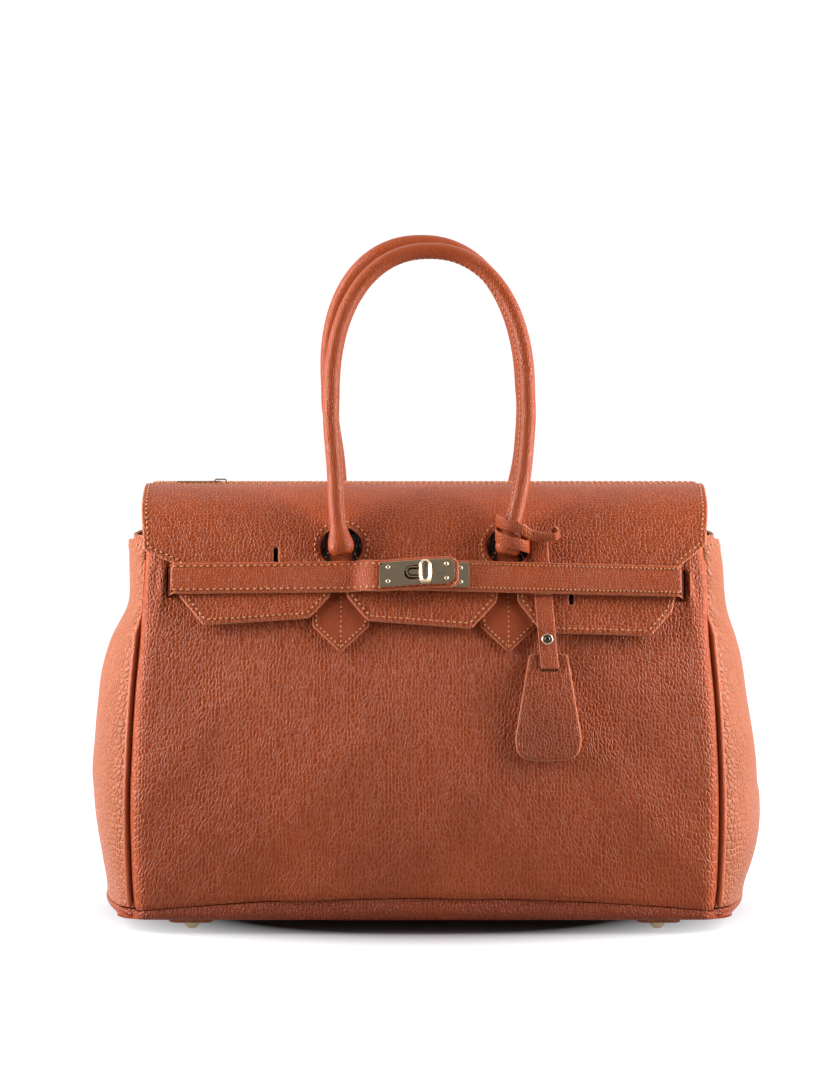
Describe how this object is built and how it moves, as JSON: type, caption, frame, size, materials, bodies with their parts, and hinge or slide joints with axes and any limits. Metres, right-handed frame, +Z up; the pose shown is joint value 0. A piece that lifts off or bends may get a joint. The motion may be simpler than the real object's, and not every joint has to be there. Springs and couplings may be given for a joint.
{
  "type": "leather handbag",
  "caption": "Structured leather handbag with rolled handles, notched flap, belt straps with a turn lock, zipped mouth, hanging tag and metal feet.",
  "frame": {"origin": "on the floor under the middle of the bag", "axes": "+Z up, front (flap and lock) towards -Y, +X to the right as seen from the front"},
  "size_m": [0.381, 0.1806, 0.3894],
  "materials": {
    "pebbled_leather": "pebbled tan calf with a soft sheen",
    "base_leather": "darker, smoother tan leather",
    "edge_leather": "smooth rolled edge leather",
    "handle_leather": "smooth rolled leather, stitched along its inner side",
    "pale_gold": "polished pale gold plate",
    "lining_cloth": "dark woven lining",
    "zip_tape": "woven zip tape",
    "fibre_board": "pressed fibre board",
    "core_cord": "firm round handle core"
  },
  "bodies": {
    "bag_body": {"front_panel": "pebbled_leather", "back_panel": "pebbled_leather", "base_panel": "base_leather", "gusset_left": "pebbled_leather", "gusset_right": "pebbled_leather", "lining": "lining_cloth", "base_board": "fibre_board", "inner_pocket": "lining_cloth", "piping_front_left": "edge_leather", "piping_front_right": "edge_leather", "piping_back_left": "edge_leather", "piping_back_right": "edge_leather", "foot_patch_front_left": "base_leather", "foot_patch_front_right": "base_leather", "foot_patch_back_left": "base_leather", "foot_patch_back_right": "base_leather", "foot_front_left": "pale_gold", "foot_front_right": "pale_gold", "foot_back_left": "pale_gold", "foot_back_right": "pale_gold", "flap": "pebbled_leather", "chape_front_left": "pebbled_leather", "chape_front_right": "pebbled_leather", "chape_back_left": "pebbled_leather", "chape_back_right": "pebbled_leather", "strap_root_left": "pebbled_leather", "strap_root_right": "pebbled_leather", "lock_base": "pale_gold", "lock_backplate": "pale_gold", "tag_strap_upper": "pebbled_leather"},
    "mouth_front": {"flap_crown": "pebbled_leather", "zip_facing_front": "pebbled_leather", "zip_tape_front": "zip_tape"},
    "mouth_back": {"back_crown": "pebbled_leather", "zip_facing_back": "pebbled_leather", "zip_tape_back": "zip_tape"},
    "slider": {"zip_slider": "pale_gold"},
    "pull": {"zip_pull": "pale_gold"},
    "knob": {"turn_knob": "pale_gold"},
    "belt_left": {"strap_left": "pebbled_leather", "plate_left": "pale_gold", "rivet_left_1": "pale_gold", "rivet_left_2": "pale_gold", "rivet_left_3": "pale_gold", "rivet_left_4": "pale_gold"},
    "belt_right": {"strap_right": "pebbled_leather", "plate_right": "pale_gold", "rivet_right_1": "pale_gold", "rivet_right_2": "pale_gold", "rivet_right_3": "pale_gold", "rivet_right_4": "pale_gold"},
    "front_handle": {"handle_front": "handle_leather", "handle_core_front": "core_cord", "tag_tie": "handle_leather"},
    "back_handle": {"handle_back": "handle_leather", "handle_core_back": "core_cord"},
    "tag_band": {"tag_strap": "pebbled_leather", "tag_rivet": "pale_gold"},
    "tag_plate": {"tag": "pebbled_leather"}
  },
  "joints": [
    {"name": "knob_turn", "type": "hinge", "parent": "bag_body", "child": "knob", "pos_m": [0.0003, -0.07471, 0.204], "axis": [0, -0.9226, 0.3857], "range_deg": [0, 90]},
    {"name": "belt_left_swing", "type": "hinge", "parent": "bag_body", "child": "belt_left", "pos_m": [-0.144, -0.05994, 0.1968], "axis": [0, -0.3839, -0.9234], "range_deg": [0, 105]},
    {"name": "belt_right_swing", "type": "hinge", "parent": "bag_body", "child": "belt_right", "pos_m": [0.1455, -0.06068, 0.1947], "axis": [0, 0.3817, 0.9243], "range_deg": [0, 74]},
    {"name": "front_handle_tilt", "type": "hinge", "parent": "bag_body", "child": "front_handle", "pos_m": [0, -0.06294, 0.217], "axis": [1, 0, 0], "range_deg": [-4, 110]},
    {"name": "back_handle_tilt", "type": "hinge", "parent": "bag_body", "child": "back_handle", "pos_m": [0, 0.06294, 0.217], "axis": [-1, 0, 0], "range_deg": [-10, 110]},
    {"name": "mouth_front_open", "type": "hinge", "parent": "bag_body", "child": "mouth_front", "pos_m": [0, -0.04, 0.23993], "axis": [1, 0, 0], "range_deg": [0, 50]},
    {"name": "mouth_back_open", "type": "hinge", "parent": "bag_body", "child": "mouth_back", "pos_m": [0, 0.03862, 0.23785], "axis": [-1, 0, 0], "range_deg": [0, 50]},
    {"name": "zip_slide", "type": "slide", "parent": "mouth_front", "child": "slider", "axis": [1, 0, 0], "range_m": [0, 0.236]},
    {"name": "zip_pull_flip", "type": "hinge", "parent": "slider", "child": "pull", "pos_m": [-0.118, 0, 0.24934], "axis": [0, 1, 0], "range_deg": [0, 170]},
    {"name": "tag_strap_swing", "type": "hinge", "parent": "bag_body", "child": "tag_band", "pos_m": [0.0665, -0.07147, 0.19059], "axis": [-1, 0, 0], "range_deg": [0, 60]},
    {"name": "tag_swing", "type": "hinge", "parent": "tag_band", "child": "tag_plate", "pos_m": [0.07, -0.08175, 0.14782], "axis": [0, -0.9703, 0.242], "range_deg": [-10, 10]}
  ],
  "couplings": [
    {"joint": "belt_right_swing", "follows": "belt_left_swing", "ratio": 0.7},
    {"joint": "mouth_back_open", "follows": "mouth_front_open", "ratio": 1},
    {"joint": "zip_slide", "follows": "mouth_front_open", "m_per_rad": 0.2693}
  ]
}
